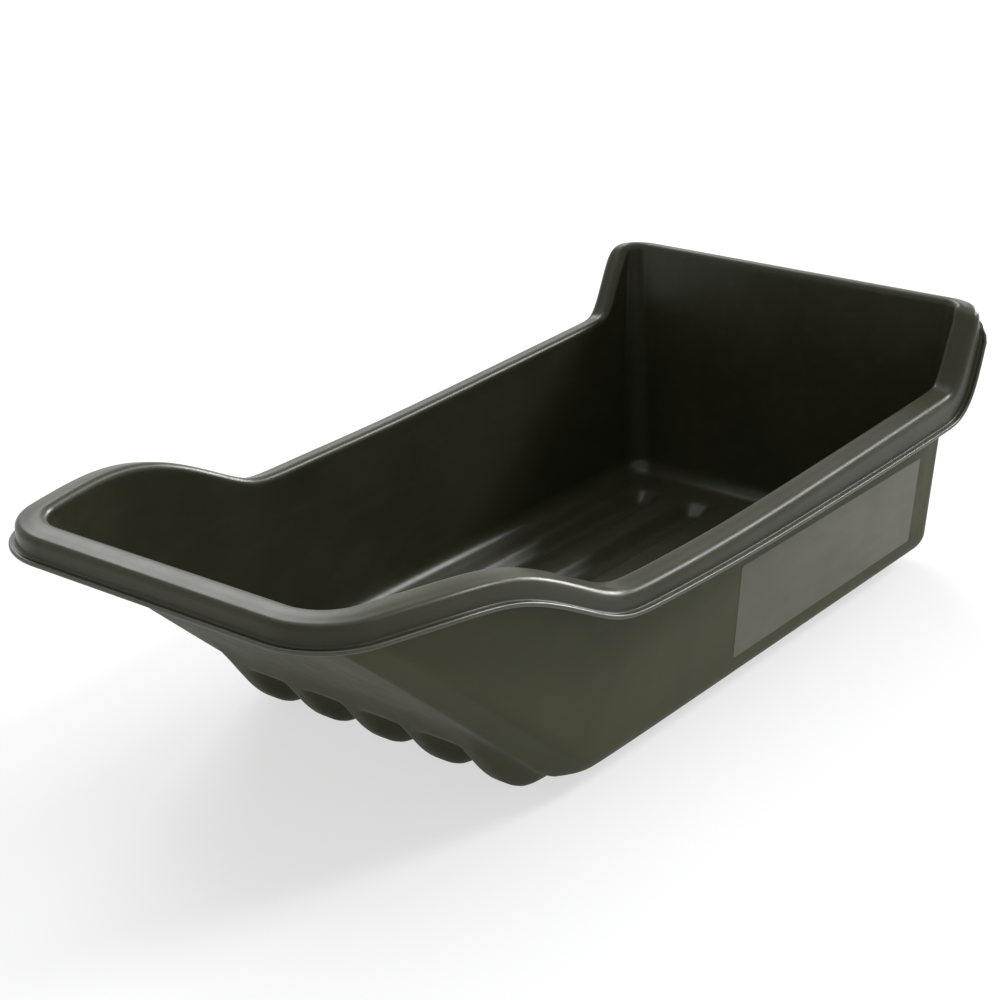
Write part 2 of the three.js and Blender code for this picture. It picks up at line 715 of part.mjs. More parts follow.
// The tow plate: a flat base with a round strap over the ring's straight bar
function makeTowPlate() {
  const base = makePlate(-plateOutside, TOW_PLATE_THICKNESS);
  const strap = new THREE.Shape();
  const root = GAP + TOW_PLATE_THICKNESS / 2;
  strap.moveTo(strapInner, root);
  strap.lineTo(strapOuter, root);
  strap.lineTo(strapOuter, pivotOut);
  strap.absarc(0, pivotOut, strapOuter, 0, Math.PI, false);
  strap.lineTo(-strapOuter, root);
  strap.lineTo(-strapInner, root);
  strap.lineTo(-strapInner, pivotOut);
  strap.absarc(0, pivotOut, strapInner, Math.PI, 0, true);
  const settings = {
    depth: TOW_STRAP_WIDTH,
    bevelEnabled: false,
    curveSegments: HALF_ROUND_STEPS,
  };
  const hump = new THREE.ExtrudeGeometry(strap, settings);
  hump.translate(0, 0, -TOW_STRAP_WIDTH / 2);
  hump.rotateX(-Math.PI / 2);
  const joined = geometryFrom(solidOf(base).add(solidOf(hump)));
  return cut(joined, boltPlaces.map((y) => holeCutter(y, -2 * plateOutside, GAP)));
}

function makeBackingPlate() {
  const plate = makePlate(WALL + GAP, TOW_PLATE_THICKNESS);
  return cut(plate, boltPlaces.map((y) => holeCutter(y, WALL, WALL + 2 * plateOutside)));
}

// A round-head bolt along local Z, head outside the hull
const nutFrom = WALL + GAP + TOW_PLATE_THICKNESS + GAP;
function makeBolt() {
  const headUnder = -plateOutside - GAP;
  const head = BOLT_HEAD_DIAMETER / 2;
  const shank = BOLT_DIAMETER / 2;
  const end = nutFrom + NUT_HEIGHT + BOLT_END;
  const profile = [new THREE.Vector2(0, headUnder - BOLT_HEAD_HEIGHT)];
  for (let i = 1; i <= HEAD_STEPS; i += 1) {
    const turn = (Math.PI / 2) * (i / HEAD_STEPS);
    const dome = BOLT_HEAD_EDGE + (BOLT_HEAD_HEIGHT - BOLT_HEAD_EDGE) * Math.cos(turn);
    profile.push(new THREE.Vector2(head * Math.sin(turn), headUnder - dome));
  }
  profile.push(new THREE.Vector2(head, headUnder));
  profile.push(new THREE.Vector2(shank, headUnder));
  profile.push(new THREE.Vector2(shank, end));
  profile.push(new THREE.Vector2(0, end));
  const bolt = new THREE.LatheGeometry(profile, ROUND_STEPS);
  bolt.rotateX(Math.PI / 2);
  return mergeVertices(bolt);
}

function makeNut() {
  const hexagon = new THREE.Shape();
  const radius = NUT_FLATS / 2 / Math.cos(Math.PI / NUT_SIDES);
  for (let i = 0; i < NUT_SIDES; i += 1) {
    const turn = 2 * Math.PI * (i / NUT_SIDES);
    const [x, y] = [radius * Math.cos(turn), radius * Math.sin(turn)];
    if (i === 0) hexagon.moveTo(x, y);
    else hexagon.lineTo(x, y);
  }
  hexagon.closePath();
  const bore = new THREE.Path();
  bore.absarc(0, 0, holeDiameter / 2, 0, 2 * Math.PI, true);
  hexagon.holes.push(bore);
  const settings = { depth: NUT_HEIGHT, bevelEnabled: false, curveSegments: HALF_ROUND_STEPS };
  const nut = new THREE.ExtrudeGeometry(hexagon, settings);
  nut.translate(0, 0, nutFrom);
  return nut;
}

// The D of the tow ring, hanging down from its straight bar on the Y axis
class RingCurve extends THREE.Curve {
  getPoint(t, target = new THREE.Vector3()) {
    const half = (RING_INNER_WIDTH + RING_WIRE) / 2;
    const r = RING_CORNER;
    const flank = RING_DEPTH - half;
    const quarter = (Math.PI / 2) * r;
    const lengths = [2 * (half - r), quarter, flank - r, Math.PI * half, flank - r, quarter];
    let rest = t * lengths.reduce((sum, length) => sum + length, 0);
    let leg = 0;
    while (leg < lengths.length - 1 && rest > lengths[leg]) {
      rest -= lengths[leg];
      leg += 1;
    }
    const turn = rest / (leg === 3 ? half : r);
    const [c, s] = [Math.cos(turn), Math.sin(turn)];
    const places = [
      () => [-half + r + rest, 0],
      () => [half - r + r * s, -r + r * c],
      () => [half, -r - rest],
      () => [half * c, -flank - half * s],
      () => [-half, -flank + rest],
      () => [-half + r - r * c, -r + r * s],
    ];
    const [y, z] = places[leg]();
    return target.set(0, y, z);
  }
}

function makeRing() {
  const tube = new THREE.TubeGeometry(new RingCurve(), RING_STEPS, ringRadius, WIRE_SIDES, true);
  tube.deleteAttribute('normal');
  tube.deleteAttribute('uv');
  return mergeVertices(tube, MERGE_DISTANCE);
}

const sled = new THREE.Group();

function addPiece(name, geometry, finish, parent = sled) {
  const mesh = new THREE.Mesh(geometry, new THREE.MeshStandardMaterial(finish));
  mesh.name = name;
  parent.add(mesh);
  return mesh;
}

addPiece('hull', makeHull(), polyethylene);

const sides = [
  { name: 'port', side: 1 },
  { name: 'starboard', side: -1 },
];
const ends = [
  { place: 'inboard', way: -1 },
  { place: 'outboard', way: 1 },
];
for (const { name, side } of sides) {
  addPiece(`side_film_${name}`, makeFilm(side), film);
  const tow = new THREE.Group();
  tow.position.copy(towFoot(side));
  tow.rotation.y = -rampAngle;
  sled.add(tow);
  addPiece(`tow_plate_${name}`, makeTowPlate(), zincedSteel, tow);
  addPiece(`backing_plate_${name}`, makeBackingPlate(), zincedSteel, tow);
  for (const { place, way } of ends) {
    const y = way * side * (BOLT_SPACING / 2);
    addPiece(`tow_bolt_${name}_${place}`, makeBolt(), zincedSteel, tow).position.y = y;
    addPiece(`tow_nut_${name}_${place}`, makeNut(), zincedSteel, tow).position.y = y;
  }
  const pivot = new THREE.Vector3(0, 0, -pivotOut).applyMatrix4(towFrame(side));
  addPiece(`tow_ring_${name}`, makeRing(), zincedSteel).position.copy(pivot);
}

export default sled;
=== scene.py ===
"""Ice fishing sled: a moulded plastic tub with a raised bow, on a plain pale floor."""
import math

import bpy
import numpy as np
from mathutils import Matrix, Vector


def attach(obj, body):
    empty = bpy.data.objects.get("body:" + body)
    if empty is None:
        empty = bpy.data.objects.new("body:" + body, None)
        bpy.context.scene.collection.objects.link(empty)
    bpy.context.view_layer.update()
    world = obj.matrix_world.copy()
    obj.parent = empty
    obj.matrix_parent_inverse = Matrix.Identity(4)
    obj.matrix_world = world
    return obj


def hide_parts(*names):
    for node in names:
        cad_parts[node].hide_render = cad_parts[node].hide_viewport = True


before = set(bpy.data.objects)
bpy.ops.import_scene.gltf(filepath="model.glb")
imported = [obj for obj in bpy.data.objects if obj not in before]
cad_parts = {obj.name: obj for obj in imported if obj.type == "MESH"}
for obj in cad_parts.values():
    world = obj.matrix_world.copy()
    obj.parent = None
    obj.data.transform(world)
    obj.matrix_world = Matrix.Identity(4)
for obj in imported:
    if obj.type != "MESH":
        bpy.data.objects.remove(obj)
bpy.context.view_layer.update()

MM = 0.001
IMAGE_SIZE = 1000

# Camera, as fitted to the photograph, in mm and degrees
CAMERA_PLACE = (2237.5, 1626.75, 1350)
CAMERA_AZIMUTH = 37
CAMERA_ELEVATION = 21.6
FOCAL_PIXELS = 2102
SENSOR = 36

# How far the camera sees and the side of the floor, in metres
CAMERA_REACH = 100
FLOOR_SIDE = 60

# The floor's colour, the share of it that is seen plain white, and the room's light on the sled
FLOOR_COLOUR = (0.9, 0.91, 0.91)
FLOOR_GLOW = 0.64
ROOM_LIGHT = 0.5

# Direction towards each lamp, its power and its width in degrees
LAMPS = {
    "port_quarter_lamp": ((-0.7, 0.38, 0.6), 1.9, 16),
    "overhead_lamp": ((-0.12, -0.2, 0.97), 0.8, 50),
    "back_lamp": ((-0.45, -0.62, 0.64), 1.2, 27),
    "stern_lamp": ((-0.97, 0, 0.19), 1.6, 18),
}

# Darker and lighter colour of each material
# The upper face (the tub's inside, and the rim down to the lip) has a darker copy of the hull's
# colour than the under face: painted shade, not a difference in the plastic.
SHADED_UPPER_OLIVES = ((0.0235, 0.024, 0.0132), (0.0315, 0.0321, 0.0177))
UNDER_OLIVES = ((0.038, 0.0388, 0.019), (0.05, 0.051, 0.0251))
EDGE_OLIVES = ((0.026, 0.0265, 0.015), (0.036, 0.0365, 0.021))
FILM_OLIVES = ((0.045, 0.046, 0.02), (0.055, 0.056, 0.027))
ZINC_GREYS = ((0.34, 0.34, 0.335), (0.48, 0.475, 0.455))
SCRATCH_COLOUR = (0.07, 0.071, 0.05)

# Least and most roughness of each material, and the specular level of those duller than usual
UPPER_ROUGHNESS = (0.28, 0.35)
UNDER_ROUGHNESS = (0.52, 0.62)
EDGE_ROUGHNESS = (0.28, 0.38)
FILM_ROUGHNESS = (0.28, 0.38)
ZINC_ROUGHNESS = (0.3, 0.46)
UPPER_SPECULAR = 0.2
UNDER_SPECULAR = 0.13
FILM_SPECULAR = 0.35

# Plan of the rim's outer face. The places along the sled run back from the bow's face or ahead
# from the stern's, and each narrowing is the loss of half width since the place behind it.
RIM_HALF_LENGTH = 744
STERN_HALF_WIDTH = 344
WAIST_BEHIND_BOW = 614
WAIST_NARROWING = 7
CHEEK_BEHIND_BOW = 194
CHEEK_NARROWING = 24
BOW_NARROWING = 53
BOW_CORNER_RADIUS = 100
STERN_CORNER_RADIUS = 66
WAIST_SOFTNESS = 60
CHEEK_SOFTNESS = 31

# Height of the rim above the ground, as seen from the side
BOW_RIM_HEIGHT = 397
HUMP_BEHIND_BOW = 280
KINK_BEHIND_BOW = 484
WAIST_RIM_HEIGHT = 287.5
AFT_RISE_BEHIND_BOW = 777
POST_FOOT_AHEAD = 108
POST_FOOT_RISE = 27
POST_TOP_AHEAD = 63
STERN_RIM_HEIGHT = 431
HUMP_SOFTNESS = 43
KINK_SOFTNESS = 18
AFT_SOFTNESS = 60
POST_FOOT_SOFTNESS = 8
POST_TOP_SOFTNESS = 10

# Section of the rolled rim
WALL = 6
RIM_BAND = 39.5
RIM_CROWN = 4.3
RIM_INNER_RADIUS = 10
RIM_INNER_DROP = 14
CROWN_FALL_SHARE = 1.6
CROWN_HEIGHT_SHARE = 0.35
BOW_SHOULDER_RADIUS = 9
SHOULDER_RADIUS = 14
FACE_STARTS = (1, 4)
BOW_FACE_DROP = 33
AFT_FACE_DROP = 50
STERN_FACE_DROP = 34
LIP_REACH = 9
LIP_FILLET = 3
LIP_EDGE_RADIUS = 2.6
POST_TILT_SHARE = 0.8

# Tub below the rim, on its inside face
RUNNER_DEPTH = 20
RAMP_BEHIND_BOW = 445
BOW_WALL_DEPTH = 20.8
RAMP_SOFTNESS = 15
TUB_INSET = 58
TUB_SOFTNESS = 3
WALL_LEAN = 4
STERN_LEAN = 8
BOW_LEAN = 2.5
TUB_BACK_RADIUS = 38
TUB_FRONT_RADIUS = 57
CORNER_STRIP = 30
RAMP_STRIP_HEIGHT = 38
BOW_STRIP = 27
FLOOR_BACK_RADIUS = 30
FLOOR_FRONT_RADIUS = 32
BEND_BEFORE_RAMP = 49
BEND_INTO_RAMP = 31

# Moulded runners
RUNNERS_EACH_SIDE = 2
RUNNER_EDGE_MARGIN = 2.25
RUNNER_LAND = 7
GROOVE_HALF_FLAT = 14
RUNNER_NOSE_DEPTH = 26
RUNNER_BACK_MARGIN = 26.5
RUNNER_BACK_FADE = 45
RUNNER_CLIMB = 46
RUNNER_NOSE_FADE = 105
GROOVE_CLIMB = 92
GROOVE_RUNOUT = 12
FLOOR_FRONT_MARGIN = 20

# Blank side film
FILM_THICKNESS = 0.15
FILM_BACK_AHEAD = 136
FILM_LENGTH = 534
FILM_ABOVE_CORNER = 7
FILM_BELOW_RIM = 82.5
FILM_CORNER = 5
FILM_STANDOFF = 0.05

# Tow points
TOW_INSET = 148
TOW_BEHIND_BOW = 66
TOW_PLATE_LENGTH = 68
TOW_PLATE_WIDTH = 26
TOW_PLATE_CORNER = 5
TOW_PLATE_THICKNESS = 2.5
TOW_STRAP_WIDTH = 17
RING_WIRE = 6
RING_INNER_WIDTH = 24
RING_DEPTH = 20
RING_CORNER = 5
RING_PLAY = 0.6
BOLT_SPACING = 54
BOLT_DIAMETER = 6
BOLT_HEAD_DIAMETER = 12
BOLT_HEAD_HEIGHT = 3.4
BOLT_HEAD_EDGE = 1
BOLT_END = 2
NUT_FLATS = 10
NUT_HEIGHT = 6
GAP = 0.3
PLATE_BEVEL = 0.5
THREAD_PITCH = 1
THREAD_DEPTH = 0.45
NUT_COLLAR = 1.8
NUT_BEVEL = 0.6

# How finely the hull is cut. A bend is cut finer for so many softnesses on either side.
COLUMN_SPACING = 9
BEND_SPACING = 4
HUMP_REACH = 2
KINK_REACH = 4
POST_FOOT_REACH = 5
RAMP_REACH = 4
CORNER_STEPS = 26
EDGE_STEPS = 22
ARC_STEPS = 7
WALL_STEPS = 12
FLANK_STEPS = 12
RUNNER_BACK_STEPS = 9
RUNNER_STEPS = 24
RUNNER_NOSE_STEPS = 48
RAMP_STEPS = 10

# How finely the other pieces are cut, and the angle in degrees from which an edge stays sharp
FILM_STEPS = 48
FILM_RISE_STEPS = 16
ROUND_STEPS = 48
STRAP_STEPS = 25
HEAD_STEPS = 9
HEAD_START_ANGLE = 10
RING_STEPS = 9
RING_BOW_STEPS = 41
WIRE_SIDES = 24
NUT_SIDES = 6
SHARP_ANGLE = 32


def knee(t, softness):
    """A line that bends upward round zero, over about four softnesses."""
    return softness * np.logaddexp(0, np.asarray(t, float) / softness)


def soft_line(stations, x):
    """A line through (x, height, softness) stations in rising order, with rounded bends."""
    slopes = [(b[1] - a[1]) / (b[0] - a[0]) for a, b in zip(stations, stations[1:])]
    value = stations[0][1] + slopes[0] * (np.asarray(x, float) - stations[0][0])
    for station, before, after in zip(stations[1:-1], slopes, slopes[1:]):
        value = value + (after - before) * knee(x - station[0], station[2])
    return value


def smooth(start, end, x):
    """0 before the start, 1 after the end and a soft step between them."""
    t = np.clip((np.asarray(x, float) - start) / (end - start), 0, 1)
    return t * t * (3 - 2 * t)


def mix(a, b, share):
    return a + (b - a) * share


BOW, STERN = RIM_HALF_LENGTH, -RIM_HALF_LENGTH
HUMP = BOW - HUMP_BEHIND_BOW
KINK = BOW - KINK_BEHIND_BOW
AFT_RISE = BOW - AFT_RISE_BEHIND_BOW
POST_FOOT = STERN + POST_FOOT_AHEAD
POST_TOP = STERN + POST_TOP_AHEAD
WAIST_HALF_WIDTH = STERN_HALF_WIDTH - WAIST_NARROWING
CHEEK_HALF_WIDTH = WAIST_HALF_WIDTH - CHEEK_NARROWING
BOW_HALF_WIDTH = CHEEK_HALF_WIDTH - BOW_NARROWING
PLAN = [
    (STERN, STERN_HALF_WIDTH, 0),
    (BOW - WAIST_BEHIND_BOW, WAIST_HALF_WIDTH, WAIST_SOFTNESS),
    (BOW - CHEEK_BEHIND_BOW, CHEEK_HALF_WIDTH, CHEEK_SOFTNESS),
    (BOW, BOW_HALF_WIDTH, 0),
]
HEIGHTS = [
    (STERN, STERN_RIM_HEIGHT, 0),
    (POST_TOP, STERN_RIM_HEIGHT, POST_TOP_SOFTNESS),
    (POST_FOOT, WAIST_RIM_HEIGHT + POST_FOOT_RISE, POST_FOOT_SOFTNESS),
    (AFT_RISE, WAIST_RIM_HEIGHT, AFT_SOFTNESS),
    (KINK, WAIST_RIM_HEIGHT, KINK_SOFTNESS),
    (HUMP, BOW_RIM_HEIGHT, HUMP_SOFTNESS),
    (BOW, BOW_RIM_HEIGHT, 0),
]
FLOOR_HEIGHT = WALL + RUNNER_DEPTH
TUB_FRONT = BOW - RIM_BAND - BOW_LEAN
TUB_BACK = STERN + RIM_BAND + STERN_LEAN
TUB_WIDEST = STERN_HALF_WIDTH - TUB_INSET
FLOOR_FRONT = TUB_FRONT - BOW_STRIP
FLOOR_BACK = TUB_BACK + CORNER_STRIP
RAMP_FOOT = BOW - RAMP_BEHIND_BOW
RAMP_RUN = TUB_FRONT - RAMP_FOOT
RAMP_RISE = BOW_RIM_HEIGHT - BOW_WALL_DEPTH - FLOOR_HEIGHT
RAMP_ANGLE = math.atan2(RAMP_RISE, RAMP_RUN)
FLOOR = [
    (STERN, FLOOR_HEIGHT, 0),
    (RAMP_FOOT, FLOOR_HEIGHT, RAMP_SOFTNESS),
    (TUB_FRONT, FLOOR_HEIGHT + RAMP_RISE, 0),
]
RUNNER_HALF_PITCH = (TUB_WIDEST - CORNER_STRIP - RUNNER_EDGE_MARGIN) / (2 * RUNNERS_EACH_SIDE + 1)
FLANK_FOOT = RUNNER_HALF_PITCH - GROOVE_HALF_FLAT
RUNNER_BACK = FLOOR_BACK + RUNNER_BACK_MARGIN
NOSE_FADE = RAMP_FOOT + RUNNER_CLIMB
RUNNER_FRONT = NOSE_FADE + RUNNER_NOSE_FADE
GROOVE_FRONT = RAMP_FOOT + GROOVE_CLIMB


def rim_half_width(x):
    return soft_line(PLAN, x)


def rim_height(x):
    return soft_line(HEIGHTS, x)


def panel_height(x):
    return soft_line(FLOOR, x)


def tub_half_width(x):
    """Half the tub's width, which follows the rim until it reaches its widest."""
    following = rim_half_width(x) - RIM_BAND - WALL_LEAN
    return following - knee(following - TUB_WIDEST, TUB_SOFTNESS)


def floor_half_width(x):
    return tub_half_width(x) - CORNER_STRIP


def face_drop(x):
    """Height of the rim's outer face, from the shoulder down to the lip."""
    along = mix(BOW_FACE_DROP, AFT_FACE_DROP, smooth(KINK, POST_FOOT, x))
    return mix(along, STERN_FACE_DROP, smooth(POST_FOOT, STERN + LIP_REACH, x))


def shoulder_radius(x):
    return mix(SHOULDER_RADIUS, BOW_SHOULDER_RADIUS, smooth(KINK, HUMP, x))


def side_shares():
    """Shares of the way from the bow corner to the stern corner where the rim gets a section."""
    start = BOW - BOW_CORNER_RADIUS
    end = STERN + STERN_CORNER_RADIUS
    bends = [
        (HUMP - HUMP_REACH * HUMP_SOFTNESS, HUMP + HUMP_REACH * HUMP_SOFTNESS, BEND_SPACING * 2),
        (KINK - KINK_REACH * KINK_SOFTNESS, KINK + KINK_REACH * KINK_SOFTNESS, BEND_SPACING),
        (end, POST_FOOT + POST_FOOT_REACH * POST_FOOT_SOFTNESS, BEND_SPACING / 2),
    ]
    places = [start]
    while places[-1] > end:
        x = places[-1]
        steps = [step for low, high, step in bends if low <= x <= high]
        places.append(x - min(steps + [COLUMN_SPACING]))
    places[-1] = end
    return (start - np.array(places)) / (start - end)


STATIONS = side_shares()


def half_outline(front, back, side, front_radius, back_radius):
    """Port half of an outline, bow middle to stern middle: columns x, y and the outward normal."""
    def normal_at(x):
        # The fall over 1 mm, which is the slope itself
        slope = side(x - 1 / 2) - side(x + 1 / 2)
        normal = np.stack([slope, np.ones_like(slope)], axis=-1)
        return normal / np.linalg.norm(normal, axis=-1, keepdims=True)

    def corner(centre, radius):
        x = centre
        for _ in range(CORNER_STEPS):
            x = centre + radius * float(normal_at(np.float64(x))[0])
        nx, ny = normal_at(np.float64(x))
        return x, float(side(x)) - radius * ny, math.atan2(ny, nx)

    def arc(centre_x, centre_y, radius, start, end):
        turns = np.linspace(start, end, CORNER_STEPS, endpoint=False)
        c, s = np.cos(turns), np.sin(turns)
        return np.stack([centre_x + radius * c, centre_y + radius * s, c, s], axis=1)

    front_x, front_y, front_turn = corner(front - front_radius, front_radius)
    back_x, back_y, back_turn = corner(back + back_radius, back_radius)
    ahead = np.linspace(0, front_y, EDGE_STEPS, endpoint=False)
    behind = np.linspace(back_y, 0, EDGE_STEPS + 1)
    x = mix(front_x, back_x, STATIONS[:-1])
    along = np.column_stack([x, side(x), normal_at(x)])
    return np.concatenate([
        np.column_stack([np.full_like(ahead, front), ahead, np.ones_like(ahead), 0 * ahead]),
        arc(front - front_radius, front_y, front_radius, 0, front_turn),
        along,
        arc(back + back_radius, back_y, back_radius, back_turn, math.pi),
        np.column_stack([np.full_like(behind, back), behind, -np.ones_like(behind), 0 * behind]),
    ])


RIM = half_outline(BOW, STERN, rim_half_width, BOW_CORNER_RADIUS, STERN_CORNER_RADIUS)
TUB = half_outline(TUB_FRONT, TUB_BACK, tub_half_width, TUB_FRONT_RADIUS, TUB_BACK_RADIUS)
BASE = half_outline(FLOOR_FRONT, FLOOR_BACK, floor_half_width,
                    FLOOR_FRONT_RADIUS, FLOOR_BACK_RADIUS)


def rim_tilt():
    """Tilt of the rim's section where the rim climbs, from its slope along the outline."""
    index = np.arange(len(RIM))
    before = RIM[np.maximum(index - 2, 0)]
    after = RIM[np.minimum(index + 2, len(RIM) - 1)]
    run = np.hypot(after[:, 0] - before[:, 0], after[:, 1] - before[:, 1])
    rise = rim_height(after[:, 0]) - rim_height(before[:, 0])
    return POST_TILT_SHARE * np.arctan2(rise, run)


TILT = rim_tilt()


def rim_row(out, up):
    """A row of the rim, out from the outer face and up from the shoulder, in the tilted section."""
    x, y, nx, ny = RIM.T
    back = -up * np.sin(TILT)
    return np.column_stack([
        x + out * nx - back * ny,
        y + out * ny + back * nx,
        rim_height(x) + up * np.cos(TILT),
    ])


def strip_row(turn):
    """A row of the strip between the floor and the side: round behind, nearly flat on the ramp."""
    x = BASE[:, 0]
    flat = smooth(RAMP_FOOT - BEND_BEFORE_RAMP, RAMP_FOOT + BEND_INTO_RAMP, x)
    height = mix(CORNER_STRIP, RAMP_STRIP_HEIGHT, flat)
    height = mix(height, BOW_STRIP * RAMP_RISE / RAMP_RUN, smooth(0, 1, BASE[:, 2]))
    share = turn / (math.pi / 2)
    out = mix(math.sin(turn), share, flat)
    up = mix(1 - math.cos(turn), share, flat)
    return np.column_stack([
        mix(x, TUB[:, 0], out),
        mix(BASE[:, 1], TUB[:, 1], out),
        panel_height(x) + height * up,
    ])


def arc_points(centre, radius, start, end, steps=ARC_STEPS):
    """Points (out, up) along an arc, its ends included. Angles in degrees."""
    turns = np.radians(np.linspace(start, end, steps))
    return [(centre[0] + radius * math.cos(t), centre[1] + radius * math.sin(t)) for t in turns]


def tub_rows():
    """Rows of the inside face from the edge of the floor up to the lip's edge."""
    strip = [strip_row(turn) for turn in np.linspace(0, math.pi / 2, 2 * ARC_STEPS)]
    inner = RIM_INNER_RADIUS
    crest = (-RIM_BAND + inner, RIM_CROWN - inner)
    top = rim_row(-RIM_BAND, RIM_CROWN - inner - RIM_INNER_DROP / 2)
    wall = [mix(strip[-1], top, share) for share in np.linspace(0, 1, WALL_STEPS)[1:]]
    shoulder = shoulder_radius(RIM[:, 0])
    section = arc_points(crest, inner, 180, 90)
    section += [(-shoulder * CROWN_FALL_SHARE, RIM_CROWN * CROWN_HEIGHT_SHARE)]
    section += arc_points((-shoulder, -shoulder), shoulder, 90, 0)
    rim = [rim_row(out, up) for out, up in section]
    drop = face_drop(RIM[:, 0])
    rim += [rim_row(0, -shoulder - down) for down in FACE_STARTS]
    fillet = arc_points((LIP_FILLET, WALL + LIP_FILLET), LIP_FILLET, 180, 270)
    rim += [rim_row(out, up - drop) for out, up in fillet]
    rim += [rim_row(LIP_REACH - LIP_EDGE_RADIUS, WALL - drop)]
    return strip + wall + rim


def whole(row):
    """A port half row and its mirror image as one closed row."""
    return np.concatenate([row, row[-2:0:-1] * (1, -1, 1)])


def runner_share(y):
    """1 on a runner's land, 0 in the groove beside it."""
    pitch = 2 * RUNNER_HALF_PITCH
    nearest = np.minimum(np.round(np.abs(y) / pitch), RUNNERS_EACH_SIDE)
    distance = np.abs(np.abs(y) - nearest * pitch)
    return 1 - smooth(RUNNER_LAND, FLANK_FOOT, distance)


def lowered_share(x, y):
    """As runner_share, but the grooves run out on the ramp into one level with the lands."""
    share = runner_share(y)
    outermost = 2 * RUNNER_HALF_PITCH * RUNNERS_EACH_SIDE
    level = np.where(np.abs(y) < outermost, 1, share)
    return mix(share, level, smooth(GROOVE_FRONT, GROOVE_FRONT + GROOVE_RUNOUT, x))


def runner_drop(x):
    """Drop of a runner's land below the floor, which grows on the noses that climb the ramp."""
    climb = 1 / (1 + np.exp((RAMP_FOOT - x) / RAMP_SOFTNESS))
    depth = mix(RUNNER_DEPTH, RUNNER_NOSE_DEPTH / math.cos(RAMP_ANGLE), climb)
    start = smooth(RUNNER_BACK, RUNNER_BACK + RUNNER_BACK_FADE, x)
    return depth * start * (1 - smooth(NOSE_FADE, RUNNER_FRONT, x))


def floor_grid():
    """Points of the floor inside its edge, as an array of stations by lines."""
    flank = np.append(np.linspace(RUNNER_LAND, FLANK_FOOT, FLANK_STEPS), RUNNER_HALF_PITCH)
    port = [0, *flank]
    for centre in 2 * RUNNER_HALF_PITCH * np.arange(1, RUNNERS_EACH_SIDE + 1):
        port += [*(centre - flank[-2::-1]), centre, *(centre + flank)]
    lines = np.array([*port[::-1], *[-y for y in port[1:]]])
    full_depth = RUNNER_BACK + RUNNER_BACK_FADE
    ramp_start = RAMP_FOOT - RAMP_REACH * RAMP_SOFTNESS
    stations = np.concatenate([
        np.linspace(RUNNER_BACK, full_depth, RUNNER_BACK_STEPS, endpoint=False),
        np.linspace(full_depth, ramp_start, RUNNER_STEPS, endpoint=False),
        np.linspace(ramp_start, RUNNER_FRONT, RUNNER_NOSE_STEPS, endpoint=False),
        np.linspace(RUNNER_FRONT, FLOOR_FRONT - FLOOR_FRONT_MARGIN, RAMP_STEPS),
    ])
    x, y = np.meshgrid(stations, lines, indexing="ij")
    narrowing = np.minimum(1, floor_half_width(x) / (TUB_WIDEST - CORNER_STRIP))
    z = panel_height(x) - lowered_share(x, y) * runner_drop(x)
    return np.stack([x, y * narrowing, z], axis=-1)


def seam(inner, outer, points):
    """Triangles between two closed loops of point numbers that run side by side."""
    faces = []
    i = j = 0
    flat = points[:, :2]
    while i < len(inner) or j < len(outer):
        a, b = inner[i % len(inner)], outer[j % len(outer)]
        next_a, next_b = inner[(i + 1) % len(inner)], outer[(j + 1) % len(outer)]
        step_inner = np.hypot(*(flat[next_a] - flat[b])) < np.hypot(*(flat[a] - flat[next_b]))
        if j >= len(outer) or (i < len(inner) and step_inner):
            faces.append((a, b, next_a))
            i += 1
        else:
            faces.append((a, b, next_b))
            j += 1
    return faces


def inside_face():
    """The inside face of the hull: points, faces and the rows' point numbers."""
    grid = floor_grid()
    stations, lines = grid.shape[:2]
    rows = [whole(row) for row in tub_rows()]
    columns = len(rows[0])
    points = np.concatenate([grid.reshape(-1, 3), *rows])
    number = np.arange(stations * lines).reshape(stations, lines)
    faces = [
        (number[i, j], number[i, j + 1], number[i + 1, j + 1], number[i + 1, j])
        for i in range(stations - 1) for j in range(lines - 1)
    ]
    middle = lines // 2
    border = [*number[-1, middle:0:-1], *number[:0:-1, 0], *number[0, :-1],
              *number[:-1, -1], *number[-1, :middle:-1]]
    ring = [stations * lines + k * columns + np.arange(columns) for k in range(len(rows))]
    faces += seam(border, list(ring[0]), points)
    for low, high in zip(ring, ring[1:]):
        for i in range(columns):
            n = (i + 1) % columns
            faces.append((low[i], high[i], high[n], low[n]))
    return points, faces, ring


def point_normals(points, faces):
    """Unit normals at the points, from the faces round them."""
    normals = np.zeros_like(points)
    quads = np.array([face if len(face) > 3 else (*face, face[-1]) for face in faces])
    a, b, c, d = (points[quads[:, k]] for k in range(4))
    across = np.cross(c - a, d - b)
    for k in range(4):
        np.add.at(normals, quads[:, k], across)
    return normals / np.linalg.norm(normals, axis=1, keepdims=True)


def mesh_object(name, points, faces, sharp_angle=None):
    """A smooth mesh in metres from points in mm, with its steeper edges sharp."""
    mesh = bpy.data.meshes.new(name)
    corners = [tuple(map(int, face)) for face in faces]
    mesh.from_pydata([tuple(point) for point in points * MM], [], corners)
    mesh.update()
    mesh.polygons.foreach_set("use_smooth", [True] * len(mesh.polygons))
    if sharp_angle:
        mesh.set_sharp_from_angle(angle=math.radians(sharp_angle))
    obj = bpy.data.objects.new(name, mesh)
    bpy.context.scene.collection.objects.link(obj)
    return obj


